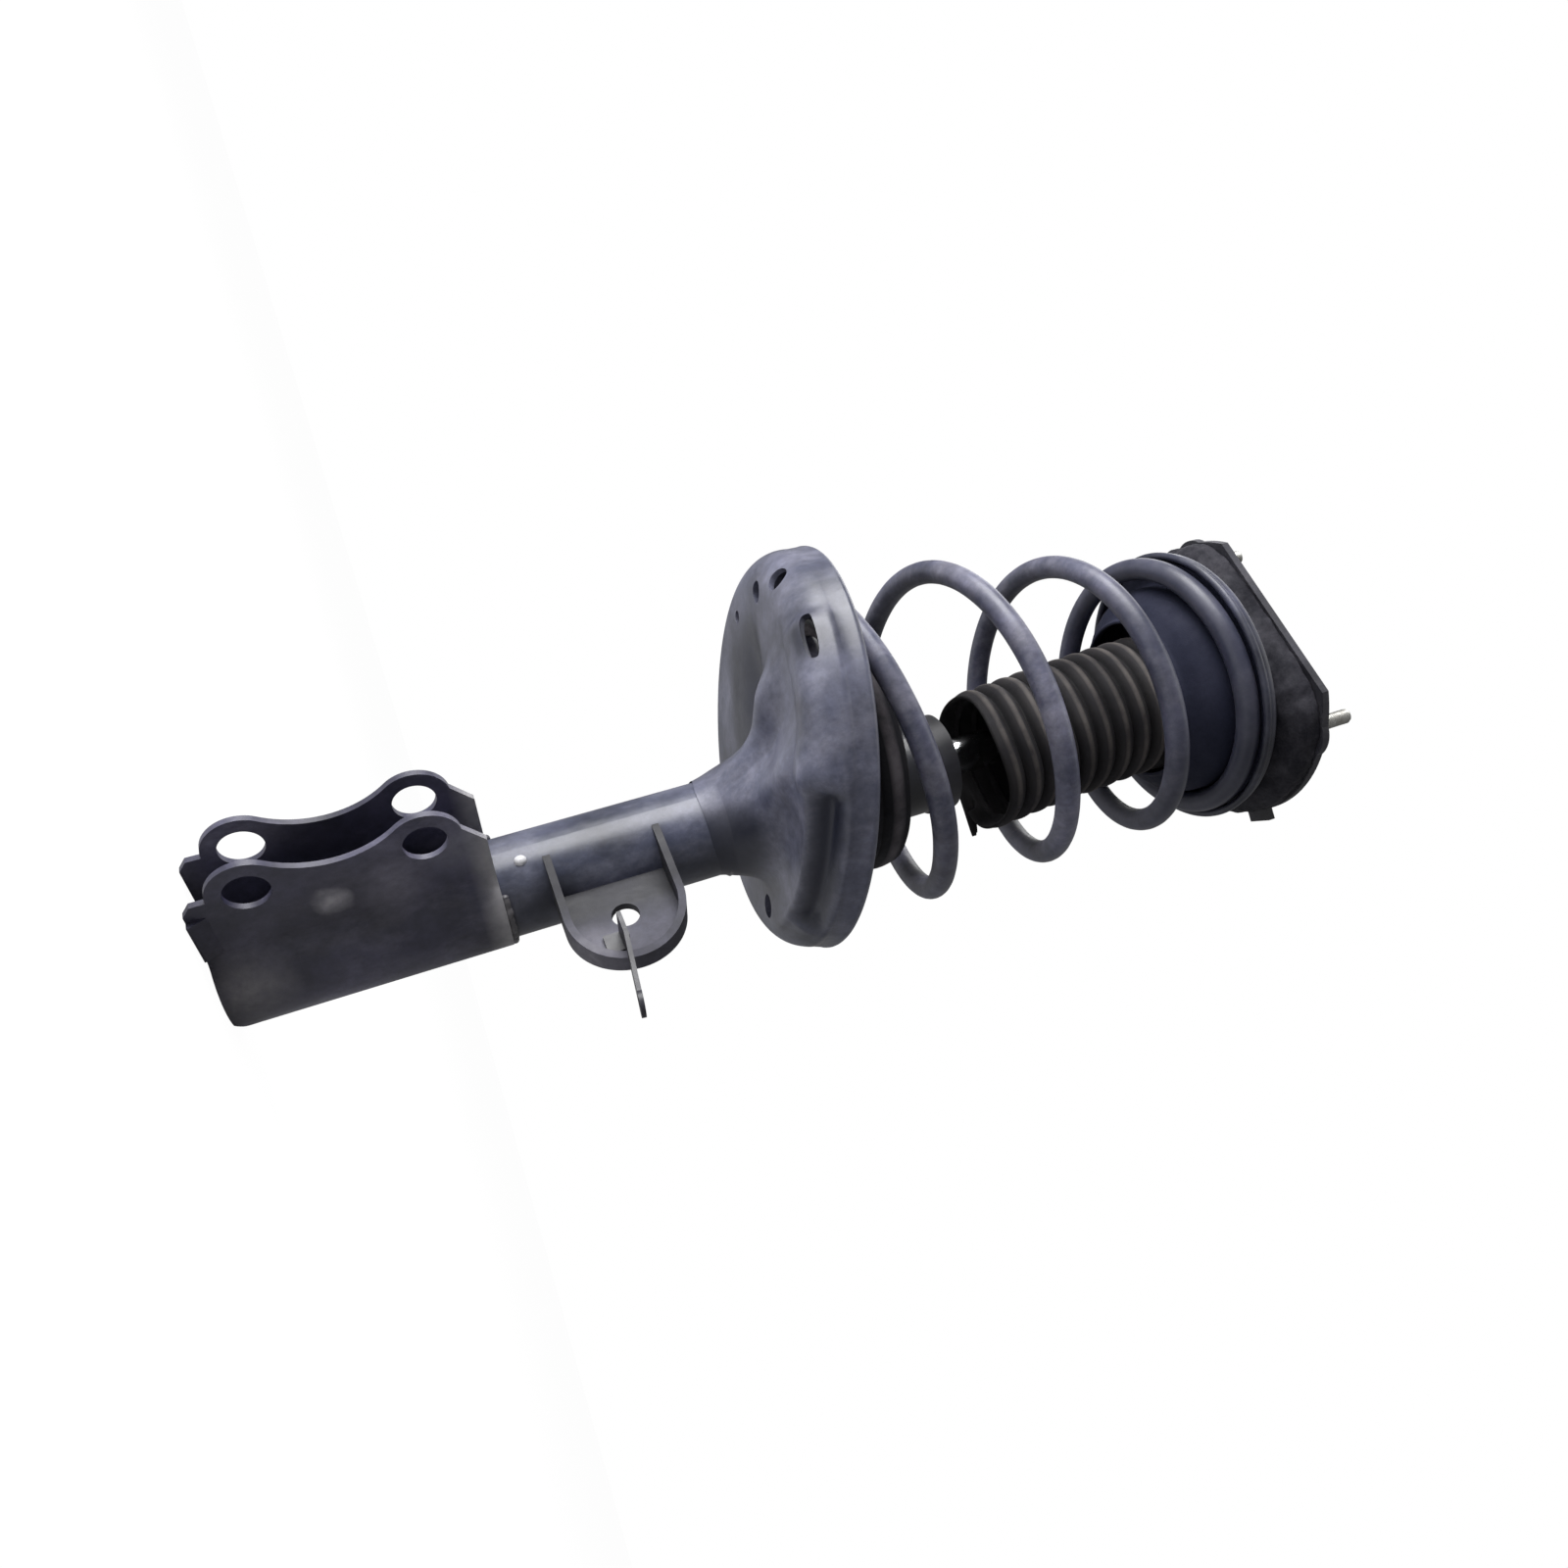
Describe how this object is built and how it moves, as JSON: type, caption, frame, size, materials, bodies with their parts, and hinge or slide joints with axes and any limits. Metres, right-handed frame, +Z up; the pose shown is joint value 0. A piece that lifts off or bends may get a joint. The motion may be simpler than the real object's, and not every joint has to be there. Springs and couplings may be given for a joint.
{
  "type": "suspension strut assembly",
  "caption": "Front suspension strut: twin-tube damper with knuckle bracket, offset lower pan, side-load coil spring, ribbed dust boot, upper seat with bearing and rubber top mount.",
  "frame": {"origin": "centre of the top mount's face that seats under the body tower, on the rod's axis", "axes": "+Z up the damper's axis to the tower, +X outboard from the tube to the knuckle bolt holes, +Y completes a right-handed frame"},
  "size_m": [0.2012, 0.224, 0.568],
  "materials": {
    "tube_paint": "black paint, dusty satin",
    "bracket_paint": "black paint, scuffed",
    "pan_paint": "black paint, dusty satin",
    "weld": "rough painted weld",
    "spring_coat": "powder coat, worn",
    "chrome": "polished",
    "steel": "machined",
    "zinc": "zinc plated, dull",
    "sinter": "sintered",
    "bronze": "plain",
    "alloy": "cast",
    "rubber": "matt, dusty",
    "boot_rubber": "matt, dusty",
    "foam": "microcellular foam",
    "ptfe": "low-friction band",
    "nylon": "plain",
    "mount_steel": "rough, worn black"
  },
  "bodies": {
    "mount": {"mount_plate": "mount_steel", "mount_cup": "mount_steel", "mount_rubber": "rubber", "mount_sleeve": "steel", "mount_studs": "zinc", "rod_washer": "zinc", "rod_nut": "zinc", "piston_rod": "chrome", "piston": "sinter", "piston_band": "ptfe", "valve_shims": "steel", "piston_nut": "steel", "rebound_stop": "nylon", "bearing_upper_race": "steel", "bearing_seal": "rubber"},
    "cage": {"bearing_balls": "steel", "bearing_cage": "nylon"},
    "upper_seat": {"upper_spring_seat": "tube_paint", "upper_spring_pad": "rubber", "bearing_lower_race": "steel", "coil_spring": "spring_coat", "dust_boot": "boot_rubber", "bump_stop": "foam", "bump_cup": "steel"},
    "strut": {"strut_tube": "tube_paint", "base_cup": "tube_paint", "gland_cap": "tube_paint", "knuckle_bracket": "bracket_paint", "bracket_weld": "weld", "link_bracket": "bracket_paint", "lead_bracket": "bracket_paint", "lower_spring_seat": "pan_paint", "seat_weld": "weld", "lower_spring_pad": "rubber", "pressure_tube": "steel", "base_valve": "sinter", "rod_guide": "alloy", "guide_bush": "bronze", "rod_seal": "rubber"}
  },
  "joints": [
    {"name": "steer", "type": "hinge", "parent": "mount", "child": "upper_seat", "pos_m": [0, 0, 0], "axis": [0, 0, 1], "continuous": true},
    {"name": "cage_spin", "type": "hinge", "parent": "mount", "child": "cage", "pos_m": [0, 0, 0], "axis": [0, 0, 1], "continuous": true},
    {"name": "damper_travel", "type": "slide", "parent": "upper_seat", "child": "strut", "axis": [0, 0, 1], "range_m": [0, 0.12], "stiffness_N_per_m": 25000, "springref_m": -0.03, "deforming": ["coil_spring", "dust_boot", "bump_stop"]}
  ],
  "couplings": [
    {"joint": "cage_spin", "follows": "steer", "ratio": 0.5}
  ]
}
